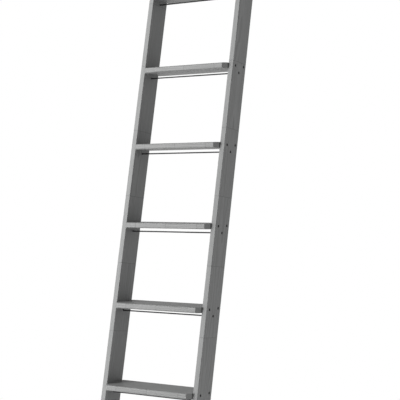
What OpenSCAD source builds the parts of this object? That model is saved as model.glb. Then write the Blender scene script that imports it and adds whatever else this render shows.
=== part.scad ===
// Leaning ladder shelf: two flat stiles, six level treads held in stopped housings by screws,
// and a steel tie rod under every tread.
// X runs across the ladder, Y from the front to the wall, Z up from the floor, in millimetres.
// The origin is on the floor, midway across the ladder and midway between its front and the wall.

/* [Ladder] */
// Rise from one tread top to the next, and from the floor to the first tread top
rise = 300; // [240:5:370]
// Height of the stile tops above the highest tread
top_ext = 200; // [165:5:400]
// Clear width between the stiles
clear_w = 376; // [300:2:600]
// Lean of the stiles from the vertical, in degrees
lean = 12; // [8:0.5:16]

/* [Stiles] */
// Width of a stile board, square to its own length
stile_w = 96; // [78:1:140]
// Thickness of a stile board
stile_t = 20; // [16:0.5:32]
// Height of the plumb cut that bears on the wall
plumb_h = 120; // [90:5:160]

/* [Treads] */
// Thickness of a tread
tread_t = 21; // [17:0.5:32]
// How far a tread's nosing stands in front of the stiles, at the tread's top
nose = 24; // [20:1:40]
// How far a tread's rear edge stands behind the stiles, at the tread's top
tail = 10; // [0:1:16]
// Length of the slanting cut across each end of the nosing, along X and along Y
nose_cut = 16; // [8:1:20]
// Rounding along the long edges of a tread
edge_r = 5; // [2:0.5:8]
// Depth of the housing in a stile, and length of the tread's tongue in it
tongue = 5; // [3:0.5:8]
// How far the tongue lies below the tread's top and above its underside
tongue_shoulder = 3; // [1:0.5:4]
// Distance from the stile's front and back to the ends of the stopped housing
housing_stop = 14; // [11:1:20]
// Clearance around the tongue in its housing
housing_gap = 0.2; // [0.1:0.05:0.5]

/* [Tread screws] */
// Distance of the screw axes below the tread's top
screw_drop = 10; // [8:0.5:13]
// Level distance of the front screw behind the stile's front edge
screw_front = 20.5; // [17:0.5:26]
// Level distance of the rear screw in front of the stile's back edge
screw_back = 16.5; // [15:0.5:26]
// Diameter of the screw's head
head_d = 9.8; // [8:0.2:12]
// Height of the screw's head
head_h = 4; // [3:0.5:6]
// How far the heads lie below the stile's face
head_recess = 1.5; // [1:0.25:3]
// Clearance between a head and the wall of its counterbore, on the radius
head_gap = 0.35; // [0.2:0.05:0.8]
// Diameter of the screw's shank
shank_d = 5; // [4:0.25:6.5]
// Clearance around the shank in the stile, on the radius
shank_gap = 0.25; // [0.1:0.05:0.5]
// Length of the shank under the head
shank_l = 46; // [38:1:70]
// Width across the flats of the hexagon sockets
hex_af = 4; // [3:0.5:5]

/* [Tie rods] */
// Diameter of a tie rod
rod_d = 5; // [4:0.5:6]
// Distance of the rod's axis below the tread's underside
rod_drop = 14.5; // [12:0.5:25]
// Outside diameter of the sleeve nut that the rod screws into
sleeve_d = 7.6; // [7:0.2:9]
// Clearance around the sleeve in the stile, on the radius
sleeve_gap = 0.3; // [0.1:0.05:0.6]
// How far the sleeve stops short of the stile's inner face
sleeve_short = 1; // [0.5:0.25:3]
// Thickness of the steel between a sleeve's thread and its hexagon socket
nut_floor = 2; // [1:0.25:4]

/* [Feet] */
// Thickness of the rubber foot under each stile
foot_t = 6; // [5:0.5:12]
// How far the foot and the wall pad lie inside the stile's edges
pad_inset = 1; // [0.5:0.25:3]
// Depth of the grip grooves in the foot
groove_depth = 1; // [0.5:0.1:1.5]
// Width of a grip groove
groove_w = 2; // [1.5:0.5:3]
// Distance from one grip groove to the next
groove_pitch = 8; // [6:1:12]
// Level distance of the foot's screws from the front and the back of the stile
foot_screw_inset = 17; // [12:1:24]

/* [Wall fixing] */
// Thickness of the pad on the plumb cut
wall_pad_t = 3; // [2:0.5:6]
// Length of each leg of the wall bracket
bracket_leg = 32; // [26:1:40]
// Height of the wall bracket
bracket_h = 56; // [46:2:70]
// Thickness of the bracket's steel
bracket_t = 2.5; // [2:0.25:4]
// Diameter of the holes for the wall screws
wall_hole_d = 5.5; // [4.5:0.5:7]
// Distance of the bracket's holes from its corner
bracket_hole_inset = 20; // [17:1:21]
// Height between the two holes in a leg
bracket_hole_pitch = 30; // [24:2:34]

/* [Small screws] */
// Diameter of the small screws' shanks
small_d = 3.5; // [3:0.25:4]
// Diameter of the small screws' heads
small_head_d = 6.6; // [6:0.2:8]
// Height of the small screws' heads
small_head_h = 2; // [1.5:0.25:2.5]
// Length of the small screws' shanks
small_l = 14; // [10:1:15]

/* [Hidden] */

$fn = 48;
tread_count = 6;
wood = [0.42, 0.43, 0.43];
black_steel = [0.10, 0.10, 0.11];
zinc_steel = [0.55, 0.56, 0.58];
dark_rod = [0.20, 0.20, 0.21];
rubber = [0.07, 0.07, 0.07];
// How far a cutting tool runs past the face it opens
past = 1;
// How far a pilot hole runs on past the end of its screw
pilot_rest = 1;
// Depth of a hexagon socket
hex_depth = 2.5;
// Room left under the small screws' heads for the floor
foot_head_drop = 1.5;
// Clearance around the small screws' heads and shanks, on the radius
small_gap = 0.25;

height = tread_count * rise + top_ext;
stile_depth = stile_w / cos(lean);
plumb_z = height - plumb_h;
inner_x = clear_w / 2;
outer_x = inner_x + stile_t;
counterbore = head_recess + head_h;
wall_y = back(plumb_z) + wall_pad_t;
frame_y = (front(foot_t) + wall_y) / 2;
bracket_z = plumb_z + plumb_h / 2;
foot_screw_top = foot_head_drop + small_head_h + small_l;
thread_end_x = outer_x - head_recess - hex_depth - nut_floor;

// The stile's front and back edges at height z
function front(z) = z * tan(lean);
function back(z) = front(z) + stile_depth;
// Height of the top of tread k, counted from the floor
function tread_z(k) = k * rise;
// Places of the two screws of tread k, each as [y, z]
function screw_spots(k) = let (z = tread_z(k) - screw_drop)
    [[front(z) + screw_front, z], [back(z) - screw_back, z]];
// Place of the rod of tread k: midway between the screws from front to back
function rod_spot(k) = let (z = tread_z(k) - tread_t - rod_drop)
    [(front(z) + screw_front + back(z) - screw_back) / 2, z];
// Places of the foot's screws, from the front to the back
function foot_spots() = [front(foot_t) + foot_screw_inset, back(foot_t) - foot_screw_inset];
function bracket_heights() = [for (i = [-1, 1]) bracket_z + i * bracket_hole_pitch / 2];

// Moves the finished ladder so that the origin is where the first lines say
module framed() { translate([0, -frame_y, 0]) children(); }
// The left side is the mirror image of the right
module on_left() { mirror([1, 0, 0]) children(); }
// A round bar or bore along X, from x0 to x1, at spot [y, z]
module along_x(d, x0, x1, spot) {
    translate([x0, spot[0], spot[1]]) rotate([0, 90, 0]) cylinder(h = x1 - x0, d = d);
}
// A hexagon socket along X, from x0 to x1
module hex_along_x(x0, x1, spot) {
    translate([x0, spot[0], spot[1]]) rotate([0, 90, 0])
        cylinder(h = x1 - x0, d = hex_af / cos(30), $fn = 6);
}
// A flat outline of [y, z] points given thickness along X, from x0 to x1
module board(x0, x1) {
    translate([x0, 0, 0]) rotate([90, 0, 90]) linear_extrude(height = x1 - x0) children();
}

// ---- Stiles ----

// The board alone: level at the foot and the top, plumb where it bears on the wall
module stile_board() {
    board(inner_x, outer_x) polygon([
        [front(foot_t), foot_t], [back(foot_t), foot_t],
        [back(plumb_z), plumb_z], [back(plumb_z), height],
        [front(height), height],
    ]);
}

// The housing for tread k: stopped at both ends, open to the inner face, with its floor
// under the tongue and a small clearance everywhere else
module housing(k) {
    z = tread_z(k);
    translate([inner_x - past, front(z) + housing_stop - housing_gap, z - tread_t + tongue_shoulder])
        cube([past + tongue + housing_gap,
              stile_depth - 2 * (housing_stop - housing_gap),
              tread_t - 2 * tongue_shoulder + housing_gap]);
}

// The counterbored holes for tread k's two screws and for its rod's sleeve nut
module stile_holes(k) {
    for (spot = concat(screw_spots(k), [rod_spot(k)]))
        along_x(head_d + 2 * head_gap, outer_x - counterbore, outer_x + past, spot);
    for (spot = screw_spots(k))
        along_x(shank_d + 2 * shank_gap, inner_x, outer_x, spot);
    along_x(sleeve_d + 2 * sleeve_gap, inner_x - past, outer_x, rod_spot(k));
}

// The pilot holes for the small screws of the foot and of the wall bracket
module stile_pilots() {
    for (y = foot_spots())
        translate([inner_x + stile_t / 2, y, foot_t - past])
            cylinder(h = past + foot_screw_top - foot_t + pilot_rest, d = small_d);
    for (z = bracket_heights())
        along_x(small_d, inner_x - past, inner_x - bracket_t + small_l + pilot_rest,
                [wall_y - bracket_hole_inset, z]);
}

module stile() {
    difference() {
        stile_board();
        for (k = [1 : tread_count]) {
            housing(k);
            stile_holes(k);
        }
        stile_pilots();
    }
}
module left_stile() { color(wood) framed() on_left() stile(); }
module right_stile() { color(wood) framed() stile(); }

// ---- Treads ----

// Side view of a tread, its top at z = 0 and the stile's front at y = 0
module tread_profile() {
    rear = stile_depth + tail;
    difference() {
        translate([-nose, -tread_t]) square([nose + rear, tread_t]);
        for (y = [-nose, rear], z = [-tread_t, 0])
            translate([y, z]) difference() {
                square(2 * edge_r, center = true);
                translate([y < 0 ? edge_r : -edge_r, z < 0 ? edge_r : -edge_r]) circle(r = edge_r);
            }
    }
}

// One tread in its own place: a board between the stiles with a tongue at each end
module tread_board() {
    difference() {
        union() {
            board(-inner_x, inner_x) tread_profile();
            translate([-inner_x - tongue, housing_stop, -tread_t + tongue_shoulder])
                cube([clear_w + 2 * tongue, stile_depth - 2 * housing_stop,
                      tread_t - 2 * tongue_shoulder]);
        }
        for (side = [-1, 1])
            translate([side * (inner_x - nose_cut), -nose, -tread_t - past])
                linear_extrude(height = tread_t + 2 * past)
                    polygon([[-side * past, -past], [side * (nose_cut + past), -past],
                             [side * (nose_cut + past), nose_cut + past]]);
    }
}

module tread(k) {
    z = tread_z(k);
    end_x = outer_x - counterbore - shank_l - pilot_rest;
    color(wood) framed() difference() {
        translate([0, front(z), z]) tread_board();
        for (spot = screw_spots(k)) {
            along_x(shank_d, end_x, outer_x, spot);
            along_x(shank_d, -outer_x, -end_x, spot);
        }
    }
}

// ---- Screws through the stiles into the treads ----

module tread_screw(spot) {
    head_x = outer_x - head_recess;
    difference() {
        union() {
            along_x(head_d, head_x - head_h, head_x, spot);
            along_x(shank_d, head_x - head_h - shank_l, head_x - head_h, spot);
        }
        hex_along_x(head_x - hex_depth, head_x + past, spot);
    }
}
module tread_screws() { for (k = [1 : tread_count], spot = screw_spots(k)) tread_screw(spot); }
module left_tread_screws() { color(black_steel) framed() on_left() tread_screws(); }
module right_tread_screws() { color(black_steel) framed() tread_screws(); }

// ---- Tie rods and the sleeve nuts that hold them ----

module tie_rod(k) {
    end_x = thread_end_x - pilot_rest;
    color(dark_rod) framed() along_x(rod_d, -end_x, end_x, rod_spot(k));
}

module sleeve_nut(spot) {
    head_x = outer_x - head_recess;
    difference() {
        union() {
            along_x(head_d, head_x - head_h, head_x, spot);
            along_x(sleeve_d, inner_x + sleeve_short, head_x - head_h, spot);
        }
        along_x(rod_d, inner_x, thread_end_x, spot);
        hex_along_x(head_x - hex_depth, head_x + past, spot);
    }
}
module sleeve_nuts() { for (k = [1 : tread_count]) sleeve_nut(rod_spot(k)); }
module left_sleeve_nuts() { color(black_steel) framed() on_left() sleeve_nuts(); }
module right_sleeve_nuts() { color(black_steel) framed() sleeve_nuts(); }

// ---- Rubber feet ----

module foot() {
    y0 = front(foot_t) + pad_inset;
    y1 = back(foot_t) - pad_inset;
    difference() {
        translate([inner_x + pad_inset, y0, 0])
            cube([stile_t - 2 * pad_inset, y1 - y0, foot_t]);
        for (y = [y0 + groove_pitch : groove_pitch : y1 - groove_pitch])
            translate([inner_x, y - groove_w / 2, -past])
                cube([stile_t, groove_w, past + groove_depth]);
        for (y = foot_spots())
            translate([inner_x + stile_t / 2, y, -past]) {
                cylinder(h = 2 * past + foot_t, d = small_d + 2 * small_gap);
                cylinder(h = past + foot_head_drop + small_head_h, d = small_head_d + 2 * small_gap);
            }
    }
}
module left_foot() { color(rubber) framed() on_left() foot(); }
module right_foot() { color(rubber) framed() foot(); }

module foot_screws() {
    for (y = foot_spots())
        translate([inner_x + stile_t / 2, y, foot_head_drop]) {
            cylinder(h = small_head_h, d = small_head_d);
            cylinder(h = foot_screw_top - foot_head_drop, d = small_d);
        }
}
module left_foot_screws() { color(zinc_steel) framed() on_left() foot_screws(); }
module right_foot_screws() { color(zinc_steel) framed() foot_screws(); }

// ---- Pads and brackets at the wall ----

module wall_pad() {
    translate([inner_x + pad_inset, wall_y - wall_pad_t, plumb_z + pad_inset])
        cube([stile_t - 2 * pad_inset, wall_pad_t, plumb_h - 2 * pad_inset]);
}
module left_wall_pad() { color(rubber) framed() on_left() wall_pad(); }
module right_wall_pad() { color(rubber) framed() wall_pad(); }

module bracket() {
    low_z = bracket_z - bracket_h / 2;
    difference() {
        union() {
            translate([inner_x - bracket_t, wall_y - bracket_leg, low_z])
                cube([bracket_t, bracket_leg, bracket_h]);
            translate([inner_x - bracket_leg, wall_y - bracket_t, low_z])
                cube([bracket_leg, bracket_t, bracket_h]);
        }
        for (z = bracket_heights()) {
            along_x(small_d + 2 * small_gap, inner_x - bracket_t - past, inner_x + past,
                    [wall_y - bracket_hole_inset, z]);
            translate([inner_x - bracket_hole_inset, wall_y + past, z]) rotate([90, 0, 0])
                cylinder(h = bracket_t + 2 * past, d = wall_hole_d);
        }
    }
}
module left_bracket() { color(black_steel) framed() on_left() bracket(); }
module right_bracket() { color(black_steel) framed() bracket(); }

module bracket_screws() {
    head_x = inner_x - bracket_t;
    for (z = bracket_heights()) {
        along_x(small_head_d, head_x - small_head_h, head_x, [wall_y - bracket_hole_inset, z]);
        along_x(small_d, head_x - small_head_h, head_x + small_l, [wall_y - bracket_hole_inset, z]);
    }
}
module left_bracket_screws() { color(black_steel) framed() on_left() bracket_screws(); }
module right_bracket_screws() { color(black_steel) framed() bracket_screws(); }

// ---- Output ----

left_stile();
right_stile();
tread(1);  // tread_1
tread(2);  // tread_2
tread(3);  // tread_3
tread(4);  // tread_4
tread(5);  // tread_5
tread(6);  // tread_6
tie_rod(1);  // tie_rod_1
tie_rod(2);  // tie_rod_2
tie_rod(3);  // tie_rod_3
tie_rod(4);  // tie_rod_4
tie_rod(5);  // tie_rod_5
tie_rod(6);  // tie_rod_6
left_tread_screws();
right_tread_screws();
left_sleeve_nuts();
right_sleeve_nuts();
left_foot();
right_foot();
left_foot_screws();
right_foot_screws();
left_wall_pad();
right_wall_pad();
left_bracket();
right_bracket();
left_bracket_screws();
right_bracket_screws();
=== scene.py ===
import math

import bpy
import numpy as np
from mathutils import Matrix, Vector


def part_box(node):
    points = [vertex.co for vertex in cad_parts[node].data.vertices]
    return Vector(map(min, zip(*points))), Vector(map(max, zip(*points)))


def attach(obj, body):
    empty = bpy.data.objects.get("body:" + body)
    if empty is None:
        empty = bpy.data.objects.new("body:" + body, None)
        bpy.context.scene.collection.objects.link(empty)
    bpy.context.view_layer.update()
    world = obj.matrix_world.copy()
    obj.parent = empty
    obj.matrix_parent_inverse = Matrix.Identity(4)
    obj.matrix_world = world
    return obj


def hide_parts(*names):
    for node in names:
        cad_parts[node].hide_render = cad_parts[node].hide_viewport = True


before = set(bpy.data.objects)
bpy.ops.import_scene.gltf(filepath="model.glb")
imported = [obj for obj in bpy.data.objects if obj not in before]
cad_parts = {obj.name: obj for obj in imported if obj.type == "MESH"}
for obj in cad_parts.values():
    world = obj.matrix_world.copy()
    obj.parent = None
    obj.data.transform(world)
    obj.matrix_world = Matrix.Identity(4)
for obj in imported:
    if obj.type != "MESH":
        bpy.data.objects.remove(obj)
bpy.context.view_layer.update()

# ---- Stiles ----
# Two planed pine boards, finger-jointed end to end and stained grey, with softened edges. They are
# cut level at the foot and the top and plumb at the wall. Stopped housings in the inner faces take
# the treads, and counterbored holes in the outer faces take the screws and the sleeve nuts.
MM = 0.001
TREADS = range(1, 7)
PLUMB_HEIGHT = 120 * MM
EDGE_SOFT = 1.6 * MM
CORNER_SOFT = 2 * MM
HOUSING_STOP = 13.8 * MM
HOUSING_DEEP = 5.2 * MM
HOUSING_GAP = 0.2 * MM
SHOULDER = 3 * MM
COUNTERBORE_R = 5.25 * MM
COUNTERBORE_DEEP = 5.5 * MM
MOUTH_FLARE = 0.4 * MM
SCREW_BORE_R = 2.75 * MM
SLEEVE_BORE_R = 4.1 * MM
SCREW_DROP = 10 * MM
SCREW_FRONT = 20.5 * MM
SCREW_BACK = 16.5 * MM
SMALL_HEAD_R = 3.3 * MM
SMALL_PILOT_R = 1.75 * MM
SMALL_PILOT_DEEP = 13 * MM
CUT_PAST = 1 * MM

stile_low, stile_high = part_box("right_stile")
tread_low = {k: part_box("tread_%d" % k)[0] for k in TREADS}
tread_high = {k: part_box("tread_%d" % k)[1] for k in TREADS}
TREAD_THICK = tread_high[1].z - tread_low[1].z
slope = (tread_low[6].y - tread_low[1].y) / (tread_low[6].z - tread_low[1].z)
lean = math.atan(slope)
plumb_z = stile_high.z - PLUMB_HEIGHT
level_depth = stile_high.y - stile_low.y - (plumb_z - stile_low.z) * slope


def front(z):
    """The y of the stiles' front edge at height z: a straight line that leans back to the wall."""
    return stile_low.y + (z - stile_low.z) * slope


def screw_spots(k):
    """The [y, z] of the two screws into one end of tread k, in from the stile's two edges."""
    z = tread_high[k].z - SCREW_DROP
    return [(front(z) + SCREW_FRONT, z), (front(z) + level_depth - SCREW_BACK, z)]


def rod_spot(k):
    """The [y, z] of the tie rod under tread k."""
    low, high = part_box("tie_rod_%d" % k)
    return ((low.y + high.y) / 2, (low.z + high.z) / 2)


# Each gives the way that a shape's own (along, sideways, upwards) axes point in the ladder.
FACING_RIGHT = np.array([[1, 0, 0], [0, 1, 0], [0, 0, 1]])
FACING_LEFT = np.array([[-1, 0, 0], [0, -1, 0], [0, 0, 1]])
FACING_BACK = np.array([[0, 1, 0], [0, 0, 1], [1, 0, 0]])
FACING_UP = np.array([[0, 0, 1], [1, 0, 0], [0, 1, 0]])
FACING_DOWN = np.array([[0, 0, -1], [0, 1, 0], [1, 0, 0]])


def closed_skin(rings):
    """A closed skin over rings of points, as an array (rings, points, 3): quads join each ring to
    the next, and one flat face closes the first ring and one the last."""
    count, around = rings.shape[:2]
    start = np.arange(count - 1)[:, None] * around
    here = np.arange(around)[None, :]
    after = (here + 1) % around
    quads = np.stack([start + here, start + after, start + around + after, start + around + here], -1)
    caps = [list(range(around))[::-1], list(range((count - 1) * around, count * around))]
    return rings.reshape(-1, 3), quads.reshape(-1, 4).tolist() + caps


def rounded_outline(corners, radius, steps=5):
    """A convex outline, anticlockwise, with each corner turned into an arc of the radius. The
    arc's centre lies in from the corner along both sides' normals. Returns points and normals."""
    corners = np.array(corners, float)
    to_next = np.roll(corners, -1, axis=0) - corners
    to_next /= np.linalg.norm(to_next, axis=1)[:, None]
    leaving = np.stack([to_next[:, 1], -to_next[:, 0]], -1)
    arriving = np.roll(leaving, 1, axis=0)
    reach = radius / (1 + (leaving * arriving).sum(1))
    centres = corners - (leaving + arriving) * reach[:, None]
    first = np.arctan2(arriving[:, 1], arriving[:, 0])
    turn = (np.arctan2(leaving[:, 1], leaving[:, 0]) - first) % math.tau
    angles = first[:, None] + turn[:, None] * np.linspace(0, 1, steps)
    normals = np.stack([np.cos(angles), np.sin(angles)], -1)
    points = centres[:, None] + radius * normals
    return points.reshape(-1, 2), normals.reshape(-1, 2)


def slab(outline, low, high, soft, steps=4):
    """An outline given thickness from low to high. Near each face it is drawn in along its normals
    by soft * (1 - cos a) as the face rises by soft * sin a, which rounds the edge all the way."""
    points, normals = outline
    quarter = np.linspace(0, math.pi / 2, steps)
    rise = soft * np.sin(quarter)
    along = np.concatenate([low + soft - rise[::-1], high - soft + rise])
    drawn_in = soft * (1 - np.cos(np.concatenate([quarter[::-1], quarter])))
    flat = points[None] - drawn_in[:, None, None] * normals[None]
    first = np.broadcast_to(along[:, None, None], flat.shape[:2] + (1,))
    return closed_skin(np.concatenate([first, flat], -1))


def block(low, high):
    """A plain square-edged block between two opposite corners, for cutting with."""
    (x0, y0, z0), (x1, y1, z1) = low, high
    ring = [(y0, z0), (y1, z0), (y1, z1), (y0, z1)]
    return closed_skin(np.array([[(x, y, z) for y, z in ring] for x in (x0, x1)], float))


def turned(stations, radius, sides=32):
    """A shape turned about its own first axis: at each station the radius, one value or one for
    every side, is carried round the axis."""
    angles = np.arange(sides) * math.tau / sides
    count = len(stations)
    radius = np.broadcast_to(np.array(radius, float).reshape(count, -1), (count, sides))
    along = np.broadcast_to(np.array(stations, float)[:, None], radius.shape)
    return closed_skin(np.stack([along, radius * np.cos(angles), radius * np.sin(angles)], -1))


def placed(shape, facing=FACING_RIGHT, at=(0, 0, 0)):
    """The shape turned to face a way and moved to a place."""
    points, faces = shape
    return points @ facing + np.array(at, float), faces


def make_mesh(name, shapes):
    """One mesh object from several closed shapes, each point where it belongs in the ladder."""
    points, faces, base = [], [], 0
    for shape_points, shape_faces in shapes:
        points.append(shape_points)
        faces += [[base + corner for corner in face] for face in shape_faces]
        base += len(shape_points)
    mesh = bpy.data.meshes.new(name)
    mesh.from_pydata(np.concatenate(points).tolist(), [], faces)
    made = bpy.data.objects.new(name, mesh)
    bpy.context.scene.collection.objects.link(made)
    return made


def shape_with(piece, operation, shapes):
    """Joins shapes to the piece or cuts them out of it, and leaves the result as its mesh."""
    tool = make_mesh("tool", shapes)
    step = piece.modifiers.new("shape", "BOOLEAN")
    step.object = tool
    step.operation = operation
    step.solver = "EXACT"
    result = piece.evaluated_get(bpy.context.evaluated_depsgraph_get())
    piece.data = bpy.data.meshes.new_from_object(result)
    piece.modifiers.clear()
    bpy.data.objects.remove(tool)


SMOOTH_BELOW = math.radians(38)


def finish_piece(piece, material, slot, *nodes, broken_edge=0):
    """Shades the piece smooth between its sharp edges, breaks those edges by a small bevel where
    asked, gives it its material and puts it in the place of its CAD nodes."""
    mesh = piece.data
    mesh.polygons.foreach_set("use_smooth", np.ones(len(mesh.polygons), bool))
    if broken_edge:
        bevel = piece.modifiers.new("broken edges", "BEVEL")
        bevel.width = broken_edge
        bevel.segments = 2
        bevel.limit_method = "ANGLE"
        bevel.angle_limit = SMOOTH_BELOW
    else:
        mesh.set_sharp_from_angle(angle=SMOOTH_BELOW)
    piece.modifiers.new("flat faces", "WEIGHTED_NORMAL").keep_sharp = True
    mesh.materials.clear()
    mesh.materials.append(material)
    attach(piece, "root")
    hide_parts(*nodes)


def feed(tree, node, feeds):
    """Sets a node's inputs, by name or number, each to a value or to another node's output."""
    for key, value in feeds.items():
        if isinstance(value, bpy.types.NodeSocket):
            tree.links.new(value, node.inputs[key])
        else:
            node.inputs[key].default_value = value


def add_node(tree, kind, feeds=None, **settings):
    """Adds a shader node with its inputs fed and its own settings made."""
    made = tree.nodes.new("ShaderNode" + kind)
    for key, value in settings.items():
        setattr(made, key, value)
    feed(tree, made, feeds or {})
    return made


def maths(tree, operation, *values):
    """The result of one step of arithmetic on numbers."""
    return add_node(tree, "Math", dict(enumerate(values)), operation=operation).outputs[0]


def vector_maths(tree, operation, *values):
    """The result of one step of arithmetic on vectors."""
    made = add_node(tree, "VectorMath", dict(enumerate(values)), operation=operation)
    return made.outputs["Value" if operation in ("LENGTH", "DOT_PRODUCT") else "Vector"]


def ramp(tree, value, start, end, low=0.0, high=1.0):
    """Low up to start and high from end on, with a smooth step between them."""
    feeds = {"Value": value, "From Min": start, "From Max": end, "To Min": low, "To Max": high}
    return add_node(tree, "MapRange", feeds, interpolation_type="SMOOTHSTEP").outputs["Result"]


def mix_colour(tree, factor, one, other):
    """The Mix node's own numbers for a colour mix: factor 0, colours 6 and 7, result 2."""
    return add_node(tree, "Mix", {0: factor, 6: one, 7: other}, data_type="RGBA").outputs[2]


def stretched_noise(tree, place, across, along, detail):
    """Noise whose spots are 1/across wide and 1/along long on a board, in metres."""
    scale = vector_maths(tree, "MULTIPLY", place, (across, across, along))
    return add_node(tree, "TexNoise", {"Vector": scale, "Scale": 1.0, "Detail": detail}).outputs["Fac"]


def new_group(name, takes, gives):
    """An empty node group with the named inputs and outputs, each with its socket type. Returns it
    with the outputs of its input node and with its output node."""
    tree = bpy.data.node_groups.new(name, "ShaderNodeTree")
    for way, sockets in (("INPUT", takes), ("OUTPUT", gives)):
        for label, kind in sockets.items():
            tree.interface.new_socket(label, in_out=way, socket_type="NodeSocket" + kind)
    return tree, tree.nodes.new("NodeGroupInput").outputs, tree.nodes.new("NodeGroupOutput")


# Each noise is given as its spots in a metre across the board and along it, and its detail.
SLOW_WAVES = (14.0, 2.2, 2.0)
STREAKS = (170.0, 12.0, 2.0)
FIBRES = (800.0, 22.0, 3.0)
PORES = (1500.0, 90.0, 1.0)
RUBBED_PATCHES = (60.0, 25.0, 3.0)

# Each range is where an effect starts and where it is at its full strength.
PORE_RANGE = (0.62, 0.74)
TONE_RANGE = (0.08, 0.80)
END_GRAIN_RANGE = (0.75, 0.98)
JOINT_RANGE = (0.5 * MM, 1.2 * MM)
PATCH_RANGE = (0.35, 0.7)

# The share of each effect in the stain's tone, then how much darker some of them make the wood.
STREAK_SHARE = 0.30
LATE_WOOD_SHARE = 0.26
FIBRE_SHARE = 0.36
PIECE_SHARE = 0.05
JOINT_DARK = 0.42
PORE_DARK = 0.10
END_GRAIN_DARK = 0.30

LATE_WOOD_POWER = 2.0
LACQUER_ROUGH = 0.40
LACQUER_SPECULAR = 0.4
FIBRE_ROUGH = 0.18
FIBRE_HIGH = 0.03 * MM
PORE_DEEP = 0.03 * MM
JOINT_DEEP = 0.06 * MM
RING_WIDTH = 4.5 * MM
RING_WARP = 24 * MM

# The lengths in a board are counted from the joint at its start, and none begins past the last
# joint. A board's number times the numbers set aside for it gives every length its own chance,
# which moves its place in the log by up to the shift.
LAST_JOINT = 3
NUMBERS_PER_BOARD = 20.0
LOG_SHIFT = (0.02, 0.06, 3.0)


def board_grain_group():
    """Stained pine. Place is in board axes: thickness, width, length. The board is a row of lengths
    glued end to end at the joint pitch, each with its own tone and its own part of the log. Rings
    are circles about the heart, warped slowly, and over them lie streaks, fibres and pores."""
    tree, take, give = new_group(
        "board grain",
        {"Place": "Vector", "Board": "Float", "Along": "Vector", "Heart": "Vector",
         "Ring Width": "Float", "Joint Pitch": "Float", "Joint Start": "Float",
         "Joint Slope": "Float", "Pale": "Color", "Deep": "Color"},
        {"Color": "Color", "Roughness": "Float", "Height": "Float"})
    axes = add_node(tree, "SeparateXYZ", {0: take["Place"]}).outputs
    level = maths(tree, "MULTIPLY_ADD", axes[1], take["Joint Slope"], axes[2])
    from_start = maths(tree, "SUBTRACT", level, take["Joint Start"])
    run = maths(tree, "DIVIDE", from_start, take["Joint Pitch"])
    run = maths(tree, "MINIMUM", run, LAST_JOINT + 0.5)
    piece_number = maths(tree, "FLOOR", run)
    part = maths(tree, "SUBTRACT", run, piece_number)
    nearer = maths(tree, "MINIMUM", part, maths(tree, "SUBTRACT", 1.0, part))
    to_joint = maths(tree, "MULTIPLY", nearer, take["Joint Pitch"])
    joint = ramp(tree, to_joint, *JOINT_RANGE, 1.0, 0.0)
    draw = maths(tree, "MULTIPLY_ADD", take["Board"], NUMBERS_PER_BOARD, piece_number)
    chance = add_node(tree, "TexWhiteNoise", {"W": draw}, noise_dimensions="1D").outputs
    shift = vector_maths(tree, "MULTIPLY", chance["Color"], LOG_SHIFT)
    log = vector_maths(tree, "ADD", take["Place"], shift)

    slow = stretched_noise(tree, log, *SLOW_WAVES)
    off_heart = vector_maths(tree, "SUBTRACT", log, take["Heart"])
    across = vector_maths(tree, "MULTIPLY", off_heart, (1.0, 1.0, 0.0))
    distance = vector_maths(tree, "LENGTH", across)
    warped = maths(tree, "MULTIPLY_ADD", slow, RING_WARP, distance)
    rings = maths(tree, "FRACT", maths(tree, "DIVIDE", warped, take["Ring Width"]))
    late_wood = maths(tree, "POWER", ramp(tree, rings, 0.0, 1.0), LATE_WOOD_POWER)
    streaks = stretched_noise(tree, log, *STREAKS)
    fibres = stretched_noise(tree, log, *FIBRES)
    pores = ramp(tree, stretched_noise(tree, log, *PORES), *PORE_RANGE)
    tone = maths(tree, "MULTIPLY", late_wood, LATE_WOOD_SHARE)
    tone = maths(tree, "MULTIPLY_ADD", streaks, STREAK_SHARE, tone)
    tone = maths(tree, "MULTIPLY_ADD", fibres, FIBRE_SHARE, tone)
    tone = maths(tree, "MULTIPLY_ADD", chance["Value"], PIECE_SHARE, tone)
    stain = mix_colour(tree, ramp(tree, tone, *TONE_RANGE), take["Pale"], take["Deep"])

    normal = add_node(tree, "NewGeometry").outputs["Normal"]
    facing = vector_maths(tree, "DOT_PRODUCT", normal, take["Along"])
    end_grain = ramp(tree, maths(tree, "ABSOLUTE", facing), *END_GRAIN_RANGE)
    shade = maths(tree, "MULTIPLY_ADD", joint, -JOINT_DARK, 1.0)
    shade = maths(tree, "MULTIPLY_ADD", pores, -PORE_DARK, shade)
    shade = maths(tree, "MULTIPLY_ADD", end_grain, -END_GRAIN_DARK, shade)
    grey = add_node(tree, "CombineXYZ", {0: shade, 1: shade, 2: shade}).outputs[0]
    height = maths(tree, "MULTIPLY", fibres, FIBRE_HIGH)
    height = maths(tree, "MULTIPLY_ADD", pores, -PORE_DEEP, height)
    feed(tree, give, {
        "Color": vector_maths(tree, "MULTIPLY", stain, grey),
        "Roughness": maths(tree, "MULTIPLY_ADD", fibres, FIBRE_ROUGH, LACQUER_ROUGH),
        "Height": maths(tree, "MULTIPLY_ADD", joint, -JOINT_DEEP, height)})
    return tree


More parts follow.
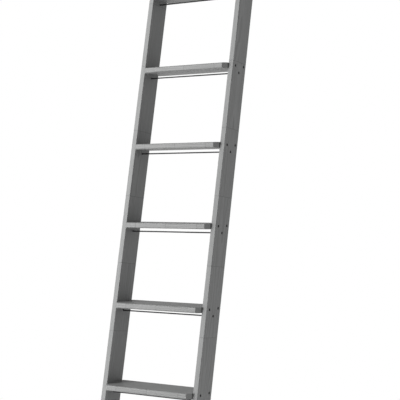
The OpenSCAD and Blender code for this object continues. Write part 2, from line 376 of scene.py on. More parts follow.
def edge_wear_group():
    """Where a board's corners are rubbed. Place is measured from the board's middle. The mask is
    strong where two of the three distances to the faces are small, and broken up by noise."""
    tree, take, give = new_group(
        "rubbed edges", {"Place": "Vector", "Half Size": "Vector", "Reach": "Float"}, {"Mask": "Float"})
    off_middle = vector_maths(tree, "ABSOLUTE", take["Place"])
    inside = vector_maths(tree, "SUBTRACT", take["Half Size"], off_middle)
    a, b, c = add_node(tree, "SeparateXYZ", {0: inside}).outputs[:3]
    least = maths(tree, "MINIMUM", a, b)
    second = maths(tree, "MAXIMUM", least, maths(tree, "MINIMUM", maths(tree, "MAXIMUM", a, b), c))
    close = ramp(tree, maths(tree, "DIVIDE", second, take["Reach"]), 0.0, 1.0, 1.0, 0.0)
    patchy = ramp(tree, stretched_noise(tree, take["Place"], *RUBBED_PATCHES), *PATCH_RANGE)
    feed(tree, give, {"Mask": maths(tree, "MULTIPLY", close, patchy)})
    return tree


board_grain = board_grain_group()
edge_wear = edge_wear_group()

STAIN_PALE = (0.189, 0.191, 0.190, 1)
STAIN_DEEP = (0.117, 0.119, 0.118, 1)
STAIN_RUBBED = (0.22, 0.225, 0.22, 1)
RUBBED_REACH = 2.2 * MM
RUBBED_STRENGTH = 0.28


def stained_board(name, board, turn, middle, half_size, along, heart, pitch, start, slope):
    """The boards' finish: grey stain over the grain, rubbed paler on the corners, under a matt
    lacquer. The Mapping node turns the ladder's axes into the board's and puts zero at its middle."""
    material = bpy.data.materials.new(name)
    material.use_nodes = True
    tree = material.node_tree
    spot = add_node(tree, "TexCoord").outputs["Object"]
    place = add_node(tree, "Mapping", {"Vector": spot, "Rotation": turn, "Location": middle}).outputs[0]
    grain = add_node(tree, "Group", node_tree=board_grain)
    wear = add_node(tree, "Group", node_tree=edge_wear)
    feed(tree, grain, {
        "Place": place, "Board": board, "Along": along, "Heart": heart, "Ring Width": RING_WIDTH,
        "Joint Pitch": pitch, "Joint Start": start, "Joint Slope": slope,
        "Pale": STAIN_PALE, "Deep": STAIN_DEEP})
    feed(tree, wear, {"Place": place, "Half Size": half_size, "Reach": RUBBED_REACH})
    worn = maths(tree, "MULTIPLY", wear.outputs["Mask"], RUBBED_STRENGTH)
    bump = add_node(tree, "Bump", {"Height": grain.outputs["Height"], "Distance": 1.0, "Strength": 1.0})
    feed(tree, tree.nodes["Principled BSDF"], {
        "Base Color": mix_colour(tree, worn, grain.outputs["Color"], STAIN_RUBBED),
        "Roughness": grain.outputs["Roughness"],
        "Normal": bump.outputs["Normal"],
        "Specular IOR Level": LACQUER_SPECULAR})
    return material


STILE_JOINT_PITCH = 254 * MM
STILE_JOINT_HEIGHT = 1006 * MM
STILE_JOINT_DROP = -math.tan(lean - math.radians(6))
stile_half = (stile_high.x - stile_low.x) / 2
stile_width = level_depth * math.cos(lean)
stile_middle_x = (stile_high.x + stile_low.x) / 2
board_middle = front(0) * math.cos(lean) + stile_width / 2
joint_along = STILE_JOINT_HEIGHT * math.cos(lean) + front(STILE_JOINT_HEIGHT) * math.sin(lean)
STILE_HEART = (55 * MM, 12 * MM)
STILE_BOARD = {"left": 7, "right": 9}
PAST_ENDS = 5.0  # half the stile's length, made so great that only its long edges are rubbed


def counterbored(bore_r):
    """A cutter from outside the stile's face inwards: a flared mouth, the wide bore, then the
    narrow one right through, as radii at stations along its axis."""
    through = 2 * stile_half + CUT_PAST
    stations = [-through, -COUNTERBORE_DEEP, -COUNTERBORE_DEEP, -MOUTH_FLARE, MOUTH_FLARE]
    radii = [bore_r, bore_r, COUNTERBORE_R, COUNTERBORE_R, COUNTERBORE_R + 2 * MOUTH_FLARE]
    return turned(stations, radii, sides=48)


def make_stile(side, name, node):
    """One stile: a slab of its outline seen from the side, and then its housings, its bores and
    the pilots for the small screws cut out."""
    facing, sign = (FACING_RIGHT, 1) if side == "right" else (FACING_LEFT, -1)
    inwards = FACING_LEFT if side == "right" else FACING_RIGHT
    foot_front, top_front = front(stile_low.z), front(stile_high.z)
    corners = [(foot_front, stile_low.z), (foot_front + level_depth, stile_low.z),
               (stile_high.y, plumb_z), (stile_high.y, stile_high.z), (top_front, stile_high.z)]
    inner, outer = sign * stile_low.x, sign * stile_high.x
    outline = rounded_outline(corners, CORNER_SOFT)
    piece = make_mesh(name, [slab(outline, min(inner, outer), max(inner, outer), EDGE_SOFT)])

    left_x, right_x = sorted((inner - sign * CUT_PAST, inner + sign * HOUSING_DEEP))
    housings = []
    bores = []
    for k in TREADS:
        top = tread_high[k].z
        start_y = front(top) + HOUSING_STOP
        end_y = front(top) + level_depth - HOUSING_STOP
        housings.append(block((left_x, start_y, top - TREAD_THICK + SHOULDER),
                              (right_x, end_y, top - SHOULDER + HOUSING_GAP)))
        for spot in screw_spots(k):
            bores.append(placed(counterbored(SCREW_BORE_R), facing, (outer, *spot)))
        bores.append(placed(counterbored(SLEEVE_BORE_R), facing, (outer, *rod_spot(k))))
    shape_with(piece, "DIFFERENCE", housings)
    shape_with(piece, "DIFFERENCE", bores)

    low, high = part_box(side + "_foot_screws")
    upwards = turned([-CUT_PAST, high.z - stile_low.z + CUT_PAST], [SMALL_PILOT_R] * 2, sides=20)
    pilots = [placed(upwards, FACING_UP, ((low.x + high.x) / 2, y, stile_low.z))
              for y in (low.y + SMALL_HEAD_R, high.y - SMALL_HEAD_R)]
    low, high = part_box(side + "_bracket_screws")
    pilot = turned([-SMALL_PILOT_DEEP, CUT_PAST], [SMALL_PILOT_R] * 2, sides=20)
    pilots += [placed(pilot, inwards, (inner, (low.y + high.y) / 2, z))
               for z in (low.z + SMALL_HEAD_R, high.z - SMALL_HEAD_R)]
    shape_with(piece, "DIFFERENCE", pilots)

    heart = (-sign * STILE_HEART[0], STILE_HEART[1], 0)
    wood = stained_board(
        side + " stile wood", STILE_BOARD[side], turn=(lean, 0, 0),
        middle=(-sign * stile_middle_x, -board_middle, 0),
        half_size=(stile_half, stile_width / 2, PAST_ENDS),
        along=(0, math.sin(lean), math.cos(lean)), heart=heart,
        pitch=STILE_JOINT_PITCH / math.cos(lean), start=joint_along, slope=STILE_JOINT_DROP)
    finish_piece(piece, wood, "stile_wood", node)


make_stile("left", "left_stile_board", "left_stile")
make_stile("right", "right_stile_board", "right_stile")

# ---- Treads ----
# Planed pine boards with rounded long edges. The nosing stands in front of the stiles and both of
# its ends are cut off at a slant. A tongue at each end sits in the stile's housing, and pilot
# holes in the ends take the screws.
LONG_EDGE_R = 5 * MM
NOSING_CUT = 16 * MM
TONGUE = 5 * MM
TONGUE_STOP = 14 * MM
PILOT_R = 2.5 * MM
PILOT_DEEP = 33 * MM
NOSING_PAST = 5 * MM
TREAD_ARRIS = 0.7 * MM
TREAD_JOINT_PITCH = 135 * MM
TREAD_JOINT_START = 4 * MM
TREAD_HEART = (50 * MM, 15 * MM)
inner_x = stile_low.x


def nosing_cutter(sign, low, high):
    """A three-cornered block that takes one end of the nosing off at a slant."""
    out_x = sign * (inner_x + NOSING_PAST)
    in_x = sign * (inner_x - NOSING_CUT - NOSING_PAST)
    front_y = low.y - NOSING_PAST
    corner = [(in_x, front_y), (out_x, front_y), (out_x, low.y + NOSING_CUT + NOSING_PAST)]
    outline = np.array(corner[::sign])
    heights = (low.z - NOSING_PAST, high.z + NOSING_PAST)
    return closed_skin(np.array([np.column_stack([outline, np.full(3, z)]) for z in heights]))


def make_tread(k):
    """One tread: a board with rounded long edges, the tongues joined on, and then the slants of the
    nosing and the pilots for the screws cut out."""
    low, high = tread_low[k], tread_high[k]
    edge = [(low.y, low.z), (high.y, low.z), (high.y, high.z), (low.y, high.z)]
    section = rounded_outline(edge, LONG_EDGE_R, steps=9)[0]
    rings = [np.column_stack([np.full(len(section), x), section]) for x in (-inner_x, inner_x)]
    piece = make_mesh("tread_%d_board" % k, [closed_skin(np.array(rings))])
    tongue_low = (-inner_x - TONGUE, front(high.z) + TONGUE_STOP, low.z + SHOULDER)
    tongue_high = (inner_x + TONGUE, front(high.z) + level_depth - TONGUE_STOP, high.z - SHOULDER)
    shape_with(piece, "UNION", [block(tongue_low, tongue_high)])
    shape_with(piece, "DIFFERENCE", [nosing_cutter(sign, low, high) for sign in (-1, 1)])
    bore = turned([-PILOT_DEEP, TONGUE + CUT_PAST], [PILOT_R] * 2, sides=24)
    shape_with(piece, "DIFFERENCE", [
        placed(bore, facing, (x, *spot)) for spot in screw_spots(k)
        for facing, x in ((FACING_RIGHT, inner_x), (FACING_LEFT, -inner_x))])

    heart = (TREAD_HEART[0] * (-1) ** k, TREAD_HEART[1], 0)
    wood = stained_board(
        "tread %d wood" % k, k, turn=(0, -math.pi / 2, 0),
        middle=(low.z + TREAD_THICK / 2, -(low.y + high.y) / 2, 0),
        half_size=(TREAD_THICK / 2, (high.y - low.y) / 2, inner_x),
        along=(1, 0, 0), heart=heart,
        pitch=TREAD_JOINT_PITCH, start=TREAD_JOINT_START, slope=0)
    finish_piece(piece, wood, "tread_wood", "tread_%d" % k, broken_edge=TREAD_ARRIS)


for k in TREADS:
    make_tread(k)

# ---- Screws through the stiles into the treads ----
# Black steel screws with a round head and a hexagon socket, two at each end of a tread. The head
# lies sunk in its counterbore, and the coarse thread runs on into the tread's end grain.
HEAD_R = 4.9 * MM
HEAD_HIGH = 4 * MM
HEAD_SUNK = 1.5 * MM
HEAD_ROUND = 0.5 * MM
SOCKET_HALF = 2 * MM
SOCKET_DEEP = 2.5 * MM
SOCKET_BEVEL = 0.35 * MM
SOCKET_TAPER = 0.97
SHANK_R = 2.5 * MM
SHANK_LONG = 46 * MM
COARSE_PITCH = 2.4 * MM
COARSE_DEEP = 0.75 * MM
COARSE_LONG = 34 * MM
POINT_LONG = 5 * MM
POINT_R = 0.2 * MM
POINT_TIP_R = 0.5 * MM
POINT_TIP_LONG = 0.3 * MM
SCREW_SIDES = 48


def hexagon(half_flats):
    """The radius of a hexagon at each side: half its width over flats, over the cosine of the
    angle from the middle of the nearest flat."""
    angles = np.arange(SCREW_SIDES) * math.tau / SCREW_SIDES
    off = (angles + math.pi / 6) % (math.pi / 3) - math.pi / 6
    return half_flats / np.cos(off)


def crossed_slots(long, half_wide):
    """The radius of a cross recess: half the slot's width over the smaller of sine and cosine, and
    never more than the slot's length."""
    angles = np.arange(SCREW_SIDES) * math.tau / SCREW_SIDES
    smaller = np.minimum(abs(np.sin(angles)), abs(np.cos(angles)))
    smaller = np.maximum(smaller, 1e-3)
    return np.minimum(long, half_wide / smaller)


def threaded(start, end, radius, deep, pitch, sides=SCREW_SIDES, per_turn=6):
    """Stations and radii of a thread: the radius dips by the depth at each turn of a helix, as a
    rounded wave of (station / pitch - turn), and fades out over one pitch at both ends."""
    stations = np.linspace(start, end, int((end - start) / pitch * per_turn))
    turns = np.arange(sides) / sides
    wave = 0.5 - 0.5 * np.cos(math.tau * (stations[:, None] / pitch - turns[None]))
    fade = np.clip(np.minimum(stations - start, end - stations) / pitch, 0, 1)[:, None]
    return stations, radius - deep * fade * wave


def round_of_head(head_r, domed=0.0):
    """Stations and radii of the small arc between a head's side and its top."""
    quarter = np.linspace(0, math.pi / 2, 4)
    stations = -domed - HEAD_ROUND + HEAD_ROUND * np.sin(quarter)
    return stations, head_r - HEAD_ROUND + HEAD_ROUND * np.cos(quarter)


def headed_screw(head_r, head_high, shank_r, shank_long, recess, recess_deep, pitch, thread_long,
                 point_long, deep, domed=0.0):
    """A screw along its first axis, its head's top at zero and its point behind. From the point the
    stations run up the thread and the plain shank, out and round the head, and down its recess."""
    tip = -head_high - shank_long
    thread_x, thread_r = threaded(tip + point_long, tip + thread_long, shank_r, deep, pitch)
    rim_x, rim_r = round_of_head(head_r, domed)
    stations = np.concatenate([[tip, tip + POINT_TIP_LONG], thread_x, [-head_high, -head_high], rim_x,
                               [0.0, -SOCKET_BEVEL, -recess_deep]])
    whole = np.ones((1, SCREW_SIDES))
    radii = np.concatenate([
        POINT_R * whole, POINT_TIP_R * whole, thread_r, shank_r * whole, head_r * whole,
        rim_r[:, None] * whole, recess[None] + SOCKET_BEVEL, recess[None], recess[None] * SOCKET_TAPER])
    return turned(stations, radii, SCREW_SIDES)


def coat_unevenness_group():
    """The small unevenness of a plated or coated surface: cloudy patches for its tone, and fine
    grain for its gloss and its height."""
    tree, take, give = new_group(
        "coat unevenness", {"Place": "Vector", "Cloud Scale": "Float", "Grain Scale": "Float"},
        {"Cloud": "Float", "Grain": "Float"})
    for label, detail in (("Cloud", 3.0), ("Grain", 2.0)):
        feeds = {"Vector": take["Place"], "Scale": take[label + " Scale"], "Detail": detail}
        feed(tree, give, {label: add_node(tree, "TexNoise", feeds).outputs["Fac"]})
    return tree


coat_unevenness = coat_unevenness_group()
CLOUD_RANGE = (0.3, 0.7)
GRAIN_RANGE = (0.25, 0.75)


def coated(name, dark, light, metallic, rough_low, rough_high, cloud_scale, grain_scale, grain_high,
           stretch=(1, 1, 1)):
    """A metal, powder-coated or rubber finish: the clouds mix two tones, the grain moves the
    roughness between its limits and raises the surface."""
    material = bpy.data.materials.new(name)
    material.use_nodes = True
    tree = material.node_tree
    spot = add_node(tree, "TexCoord").outputs["Object"]
    place = add_node(tree, "Mapping", {"Vector": spot, "Scale": stretch}).outputs[0]
    uneven = add_node(tree, "Group", node_tree=coat_unevenness)
    feed(tree, uneven, {"Place": place, "Cloud Scale": cloud_scale, "Grain Scale": grain_scale})
    height = maths(tree, "MULTIPLY", uneven.outputs["Grain"], grain_high)
    bump = add_node(tree, "Bump", {"Height": height, "Distance": 1.0, "Strength": 1.0})
    feed(tree, tree.nodes["Principled BSDF"], {
        "Base Color": mix_colour(tree, ramp(tree, uneven.outputs["Cloud"], *CLOUD_RANGE), dark, light),
        "Roughness": ramp(tree, uneven.outputs["Grain"], *GRAIN_RANGE, rough_low, rough_high),
        "Normal": bump.outputs["Normal"],
        "Metallic": metallic})
    return material


black_oxide = coated(
    "black oxide steel", dark=(0.012, 0.012, 0.013, 1), light=(0.030, 0.030, 0.031, 1), metallic=0.6,
    rough_low=0.38, rough_high=0.60, cloud_scale=350.0, grain_scale=3000.0, grain_high=0.01 * MM)
tread_screw = headed_screw(
    HEAD_R, HEAD_HIGH, SHANK_R, SHANK_LONG, hexagon(SOCKET_HALF), SOCKET_DEEP,
    pitch=COARSE_PITCH, thread_long=COARSE_LONG, point_long=POINT_LONG, deep=COARSE_DEEP)
head_x = stile_high.x - HEAD_SUNK
OUTWARDS = (("left", FACING_LEFT, -head_x), ("right", FACING_RIGHT, head_x))
for side, facing, x in OUTWARDS:
    screws = make_mesh(side + "_screws", [placed(tread_screw, facing, (x, *spot))
                                          for k in TREADS for spot in screw_spots(k)])
    finish_piece(screws, black_oxide, "black_screw_steel", side + "_tread_screws")

# ---- Tie rods ----
# A slim round bar of dark steel under every tread. Its threaded ends run a little way out of the
# stiles' inner faces and are screwed into sleeve nuts, which draw the stiles against the treads.
THREAD_PITCH = 0.8 * MM
THREAD_DEEP = 0.35 * MM
THREAD_SHOWS = 7 * MM
ROD_CHAMFER = 0.5 * MM
dark_steel = coated(
    "dark rod steel", dark=(0.014, 0.014, 0.015, 1), light=(0.032, 0.032, 0.033, 1), metallic=0.5,
    rough_low=0.45, rough_high=0.62, cloud_scale=160.0, grain_scale=1400.0, grain_high=0.008 * MM,
    stretch=(0.08, 1, 1))


def tie_rod_shape(half_long, radius, sides=24):
    """A rod along its first axis, middle at zero: thread, plain bar, thread, with chamfered ends."""
    thread_x, thread_r = threaded(inner_x - THREAD_SHOWS, half_long - ROD_CHAMFER, radius, THREAD_DEEP,
                                  THREAD_PITCH, sides)
    tip = np.full((1, sides), radius - ROD_CHAMFER)
    stations = np.concatenate([[-half_long], -thread_x[::-1], thread_x, [half_long]])
    radii = np.concatenate([tip, thread_r[::-1], thread_r, tip])
    return turned(stations, radii, sides)


for k in TREADS:
    low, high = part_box("tie_rod_%d" % k)
    bar = tie_rod_shape(high.x, (high.z - low.z) / 2)
    rod = make_mesh("tie_rod_%d_bar" % k, [placed(bar, FACING_RIGHT, (0, *rod_spot(k)))])
    finish_piece(rod, dark_steel, "rod_steel", "tie_rod_%d" % k)

# ---- Sleeve nuts ----
# Turned black steel nuts with a long threaded sleeve and the same head as the screws. They go in
# from outside, one at each end of a rod.
SLEEVE_R = 3.8 * MM
SLEEVE_SHORT = 1 * MM
SLEEVE_CHAMFER = 0.4 * MM
NUT_BORE_R = 2.5 * MM
NUT_BORE_START = 0.5 * MM
NUT_FLOOR = 2 * MM
SOLID_LONG = SOCKET_DEEP + NUT_FLOOR


def sleeve_nut_shape():
    """A nut along its first axis, head's top at zero. The stations run from the end of the bore,
    out of the sleeve's mouth, up the sleeve, round the head and down its socket. The bore's thread
    is out of sight, so it has no depth here."""
    mouth = -(2 * stile_half - HEAD_SUNK - SLEEVE_SHORT)
    socket = hexagon(SOCKET_HALF)
    bore_x, bore_r = threaded(mouth + NUT_BORE_START, -SOLID_LONG, NUT_BORE_R, 0, THREAD_PITCH, per_turn=1)
    rim_x, rim_r = round_of_head(HEAD_R)
    whole = np.ones((1, SCREW_SIDES))
    stations = np.concatenate([
        bore_x[::-1], [mouth, mouth, mouth + SLEEVE_CHAMFER, -HEAD_HIGH, -HEAD_HIGH],
        rim_x, [0.0, -SOCKET_BEVEL, -SOCKET_DEEP]])
    radii = np.concatenate([
        bore_r[::-1], (NUT_BORE_R + SLEEVE_CHAMFER) * whole, (SLEEVE_R - SLEEVE_CHAMFER) * whole,
        SLEEVE_R * whole, SLEEVE_R * whole, HEAD_R * whole, rim_r[:, None] * whole,
        socket[None] + SOCKET_BEVEL, socket[None], socket[None] * SOCKET_TAPER])
    return turned(stations, radii, SCREW_SIDES)


sleeve_nut = sleeve_nut_shape()
for side, facing, x in OUTWARDS:
    nuts = make_mesh(side + "_nuts", [placed(sleeve_nut, facing, (x, *rod_spot(k))) for k in TREADS])
    finish_piece(nuts, black_oxide, "black_screw_steel", side + "_sleeve_nuts")

# ---- Feet ----
# Moulded black rubber blocks under the level cut of each stile, grooved across for grip and held
# by two screws from below, whose heads lie sunk in the sole.
FOOT_CORNER = 2.5 * MM
FOOT_SOFT = 0.8 * MM
GROOVE_PITCH = 8 * MM
GROOVE_WIDE = 2 * MM
GROOVE_DEEP = 1 * MM
FOOT_HEAD_DROP = 1.5 * MM
FOOT_ARRIS = 0.15 * MM
SMALL_HEAD_HIGH = 2 * MM
SMALL_SHANK_R = 1.75 * MM
SMALL_LONG = 14 * MM
SMALL_GAP = 0.25 * MM
rubber = coated(
    "black rubber", dark=(0.016, 0.016, 0.016, 1), light=(0.028, 0.028, 0.027, 1), metallic=0.0,
    rough_low=0.62, rough_high=0.82, cloud_scale=220.0, grain_scale=1800.0, grain_high=0.03 * MM)


def foot_screw_spots(side):
    """The [x, y] of the two screws in a foot, from the box that holds both of them."""
    low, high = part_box(side + "_foot_screws")
    middle = (low.x + high.x) / 2
    return [(middle, low.y + SMALL_HEAD_R), (middle, high.y - SMALL_HEAD_R)]


for side in ("left", "right"):
    low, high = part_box(side + "_foot")
    plan = [(low.x, low.y), (high.x, low.y), (high.x, high.y), (low.x, high.y)]
    sole = slab(rounded_outline(plan, FOOT_CORNER), low.z, high.z, FOOT_SOFT)
    foot = make_mesh(side + "_rubber_foot", [placed(sole, FACING_UP)])
    grooves = []
    for y in np.arange(low.y + GROOVE_PITCH, high.y - GROOVE_PITCH, GROOVE_PITCH):
        grooves.append(block((low.x - CUT_PAST, y - GROOVE_WIDE / 2, low.z - CUT_PAST),
                             (high.x + CUT_PAST, y + GROOVE_WIDE / 2, GROOVE_DEEP)))
    shape_with(foot, "DIFFERENCE", grooves)
    seat = FOOT_HEAD_DROP + SMALL_HEAD_HIGH
    shank_hole, head_hole = SMALL_SHANK_R + SMALL_GAP, SMALL_HEAD_R + SMALL_GAP
    hole = turned([-high.z - CUT_PAST, -seat, -seat, CUT_PAST], [shank_hole] * 2 + [head_hole] * 2)
    holes = [placed(hole, FACING_DOWN, (x, y, 0)) for x, y in foot_screw_spots(side)]
    shape_with(foot, "DIFFERENCE", holes)
    finish_piece(foot, rubber, "foot_rubber", side + "_foot", broken_edge=FOOT_ARRIS)

# ---- Screws in the feet ----
# Zinc-plated steel screws, two in each foot, with a low round head and a cross recess. They are
# driven up through the rubber into the end grain of the stile.
CROSS_LONG = 1.9 * MM
CROSS_HALF = 0.5 * MM
CROSS_DEEP = 1.3 * MM
FINE_PITCH = 1.3 * MM
FINE_DEEP = 0.45 * MM
FINE_LONG = 13.5 * MM
FINE_POINT = 3 * MM
PAN_DOME = 0.35 * MM
zinc = coated(
    "zinc plate", dark=(0.50, 0.51, 0.53, 1), light=(0.62, 0.62, 0.60, 1), metallic=1.0,
    rough_low=0.28, rough_high=0.48, cloud_scale=500.0, grain_scale=4000.0, grain_high=0.006 * MM)
small_screw = headed_screw(
    SMALL_HEAD_R, SMALL_HEAD_HIGH, SMALL_SHANK_R, SMALL_LONG, crossed_slots(CROSS_LONG, CROSS_HALF),
    CROSS_DEEP, pitch=FINE_PITCH, thread_long=FINE_LONG, point_long=FINE_POINT, deep=FINE_DEEP,
    domed=PAN_DOME)
for side in ("left", "right"):
    screws = make_mesh(side + "_foot_fixings", [placed(small_screw, FACING_DOWN, (x, y, FOOT_HEAD_DROP))
                                                for x, y in foot_screw_spots(side)])
    finish_piece(screws, zinc, "zinc_screw_steel", side + "_foot_screws")

# ---- Wall pads ----
# Strips of black rubber, cut from sheet and glued to the plumb cut at the top of each stile. They
# lie against the wall, so that the wood does not mark it.
PAD_CORNER = 2 * MM
PAD_SOFT = 0.4 * MM
for side in ("left", "right"):
    low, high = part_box(side + "_wall_pad")
    face = [(low.z, low.x), (high.z, low.x), (high.z, high.x), (low.z, high.x)]
    strip = slab(rounded_outline(face, PAD_CORNER), low.y, high.y, PAD_SOFT)
    pad = make_mesh(side + "_rubber_pad", [placed(strip, FACING_BACK)])
    finish_piece(pad, rubber, "pad_rubber", side + "_wall_pad")

# ---- Wall brackets ----
# Steel angles bent from strip and powder-coated black. One leg is screwed to the inside of the
# stile and the other takes two screws into the wall.
BRACKET_THICK = 2.5 * MM
BRACKET_ARRIS = 0.25 * MM
BEND_R = 3 * MM
LEG_CORNER = 5 * MM
CORNER_FROM = 0.12  # the strip's end stops this angle short of a full round, so that it has a face
STRIP_EDGE = 0.4 * MM
WALL_HOLE_R = 2.75 * MM
HOLE_INSET = 20 * MM
HOLE_PITCH = 30 * MM
powder_coat = coated(
    "black powder coat", dark=(0.020, 0.020, 0.021, 1), light=(0.034, 0.034, 0.035, 1), metallic=0.0,
    rough_low=0.42, rough_high=0.62, cloud_scale=120.0, grain_scale=1600.0, grain_high=0.05 * MM)


def bent_strip(leg, high, thick):
    """A strip carried round a bend. Its middle line runs in along +b to the corner, round an arc,
    and off along -a, in the plan (a, b) with the corner at zero. The section is as thick as the
    sheet and as high as the strip, less near the ends, where the strip's corners are rounded."""
    bend = BEND_R + thick / 2
    end = thick / 2 - leg
    corner_turn = np.linspace(CORNER_FROM, math.pi / 2, 8)
    to_end = np.concatenate([LEG_CORNER * (1 - np.cos(corner_turn)), [leg / 2]])
    turn = np.linspace(0, math.pi / 2, 9)
    zeros, ones = np.zeros(len(to_end)), np.ones(len(to_end))
    a = np.concatenate([zeros, bend * np.cos(turn) - bend, end + to_end[::-1]])
    b = np.concatenate([end + to_end, bend * np.sin(turn) - bend, zeros])
    normal_a = np.concatenate([ones, np.cos(turn), zeros])[:, None]
    normal_b = np.concatenate([zeros, np.sin(turn), ones])[:, None]
    short_of = LEG_CORNER - np.minimum(to_end, LEG_CORNER)
    drop = LEG_CORNER - np.sqrt(LEG_CORNER ** 2 - short_of ** 2)
    drop = np.concatenate([drop, np.zeros(len(turn)), drop[::-1]])
    section, _ = rounded_outline([(-thick / 2, -1), (thick / 2, -1), (thick / 2, 1), (-thick / 2, 1)],
                                 STRIP_EDGE, steps=4)
    off, rise = section.T
    heights = np.sign(rise) * ((high / 2 - drop)[:, None] + abs(rise) - 1)
    skin = np.stack([a[:, None] + off * normal_a, b[:, None] + off * normal_b, heights], -1)
    return closed_skin(skin[:, ::-1])


for side, sign in (("left", -1), ("right", 1)):
    low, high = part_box(side + "_bracket")
    middle_z = (low.z + high.z) / 2
    face_x = high.x if sign > 0 else low.x
    corner_x = face_x - sign * BRACKET_THICK / 2
    points, faces = bent_strip(high.y - low.y, high.z - low.z, BRACKET_THICK)
    points = points * (sign, 1, 1) + (corner_x, high.y - BRACKET_THICK / 2, middle_z)
    if sign < 0:
        faces = [face[::-1] for face in faces]
    bracket = make_mesh(side + "_angle", [(points, faces)])
    past_strip = [-CUT_PAST, BRACKET_THICK + CUT_PAST]
    stile_hole = turned(past_strip, [SMALL_SHANK_R + SMALL_GAP] * 2)
    wall_hole = turned(past_strip, [WALL_HOLE_R] * 2)
    holes = []
    for z in (middle_z - HOLE_PITCH / 2, middle_z + HOLE_PITCH / 2):
        edge = (corner_x - BRACKET_THICK / 2, high.y - HOLE_INSET, z)
        leg = (face_x - sign * HOLE_INSET, high.y - BRACKET_THICK, z)
        holes.append(placed(stile_hole, FACING_RIGHT, edge))
        holes.append(placed(wall_hole, FACING_BACK, leg))
    shape_with(bracket, "DIFFERENCE", holes)
    finish_piece(bracket, powder_coat, "bracket_steel", side + "_bracket", broken_edge=BRACKET_ARRIS)

# ---- Screws in the brackets ----
# The same small screws in black steel, two in each bracket. They go through its side leg into the
# inner face of the stile.
for side, sign, facing in (("left", -1, FACING_RIGHT), ("right", 1, FACING_LEFT)):
    low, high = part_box(side + "_bracket_screws")
    x = low.x if sign > 0 else high.x
    spots = [(x, (low.y + high.y) / 2, z) for z in (low.z + SMALL_HEAD_R, high.z - SMALL_HEAD_R)]
    screws = make_mesh(side + "_angle_fixings", [placed(small_screw, facing, spot) for spot in spots])
    finish_piece(screws, black_oxide, "black_screw_steel", side + "_bracket_screws")

# ---- Floor, light and camera ----
# A round pale floor that fades into a white room, a tall soft light to the front left, and a room
# that is brighter low down than high up, as a white studio is with its light near the floor.
FLOOR_R = 1.0
FADE_START = 0.15
FADE_END = 0.92
FLOOR_PALE = (0.88, 0.88, 0.88, 1)
FLOOR_SPECKLE = (0.90, 0.90, 0.90, 1)
FLOOR_ROUGH = 0.8
FLOOR_GLOW = 1.3
SPECKLE_SCALE = 300.0
WHITE = (1, 1, 1, 1)
ROOM_LOW = 0.96
ROOM_HIGH = 0.47
ROOM_BLEND = 0.6
KEY_WATTS = 432.0
KEY_WIDE = 1.8
KEY_TALL = 7.0
KEY_AWAY = 4.5
KEY_TURN = math.radians(45)
KEY_RISE = math.radians(12)
KEY_AIM = Vector((0, 0, 1.0))
LENS = 98.8
SENSOR = 36
HEADING = math.radians(31.17)
PITCH = math.radians(-0.25)
CAMERA_STAND = Vector((2.2262, -3.4492, 0.1032))


def round_floor(radius, rings=12, sides=96):
    """A flat disc: rings of points round the origin, a quad between each pair."""
    angle = np.arange(sides) * math.tau / sides
    r = np.linspace(0.02, 1, rings)[:, None] * radius
    points = np.stack([r * np.cos(angle), r * np.sin(angle), np.zeros((rings, sides))], -1)
    flat, faces = closed_skin(points)
    return flat, [face[::-1] for face in faces[:-2]] + [list(range(sides))]


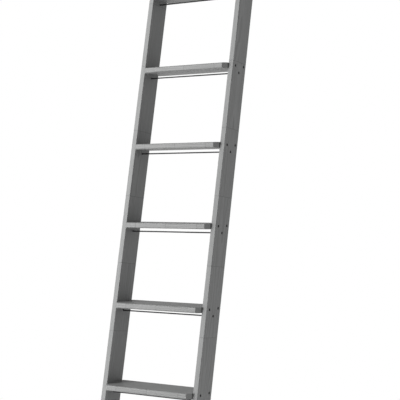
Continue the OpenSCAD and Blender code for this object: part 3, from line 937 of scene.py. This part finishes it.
floor = make_mesh("floor", [round_floor(FLOOR_R)])
floor_finish = bpy.data.materials.new("pale floor")
floor_finish.use_nodes = True
tree = floor_finish.node_tree
shader = tree.nodes["Principled BSDF"]
spot = add_node(tree, "TexCoord").outputs["Object"]
fade = ramp(tree, vector_maths(tree, "LENGTH", spot), FADE_START, FADE_END)
speckle = add_node(tree, "TexNoise", {"Vector": spot, "Scale": SPECKLE_SCALE, "Detail": 2.0}).outputs["Fac"]
feed(tree, shader, {
    "Base Color": mix_colour(tree, ramp(tree, speckle, *CLOUD_RANGE), FLOOR_PALE, FLOOR_SPECKLE),
    "Roughness": FLOOR_ROUGH})
glow = add_node(tree, "Emission", {"Color": WHITE, "Strength": FLOOR_GLOW})
blend = add_node(tree, "MixShader", {0: fade, 1: shader.outputs[0], 2: glow.outputs[0]})
feed(tree, tree.nodes["Material Output"], {"Surface": blend.outputs[0]})
floor.data.materials.append(floor_finish)

room = bpy.data.worlds.new("white room")
room.use_nodes = True
bpy.context.scene.world = room
tree = room.node_tree
way = add_node(tree, "TexCoord").outputs["Generated"]
way_up = add_node(tree, "SeparateXYZ", {0: way}).outputs[2]
strength = ramp(tree, way_up, -ROOM_BLEND, ROOM_BLEND, ROOM_LOW, ROOM_HIGH)
room_light = tree.nodes["Background"]
feed(tree, room_light, {"Color": WHITE, "Strength": strength})
backdrop = add_node(tree, "Background", {"Color": WHITE, "Strength": 1.0})
by_camera = add_node(tree, "LightPath").outputs["Is Camera Ray"]
seen = add_node(tree, "MixShader", {0: by_camera, 1: room_light.outputs[0], 2: backdrop.outputs[0]})
feed(tree, tree.nodes["World Output"], {"Surface": seen.outputs[0]})

towards_key = Vector((-math.sin(KEY_TURN), -math.cos(KEY_TURN), math.tan(KEY_RISE)))
key = bpy.data.lights.new("soft key", "AREA")
key.shape = "RECTANGLE"
key.size = KEY_WIDE
key.size_y = KEY_TALL
key.energy = KEY_WATTS
key_object = bpy.data.objects.new("soft key", key)
key_object.location = KEY_AIM + towards_key.normalized() * KEY_AWAY
key_object.visible_camera = False
key_object.rotation_mode = "QUATERNION"
key_object.rotation_quaternion = (-towards_key).to_track_quat("-Z", "Y")
bpy.context.scene.collection.objects.link(key_object)

target = Vector((0, front(tread_high[3].z), tread_high[3].z))
level = math.cos(PITCH)
look = Vector((-math.sin(HEADING) * level, math.cos(HEADING) * level, math.sin(PITCH)))
camera = bpy.data.cameras.new("camera")
camera.lens = LENS
camera.sensor_width = SENSOR
camera.clip_end = 100
camera_object = bpy.data.objects.new("camera", camera)
camera_object.location = target + CAMERA_STAND
camera_object.rotation_mode = "QUATERNION"
camera_object.rotation_quaternion = look.to_track_quat("-Z", "Y")
bpy.context.scene.collection.objects.link(camera_object)
bpy.context.scene.camera = camera_object
bpy.context.scene.view_settings.view_transform = "Standard"
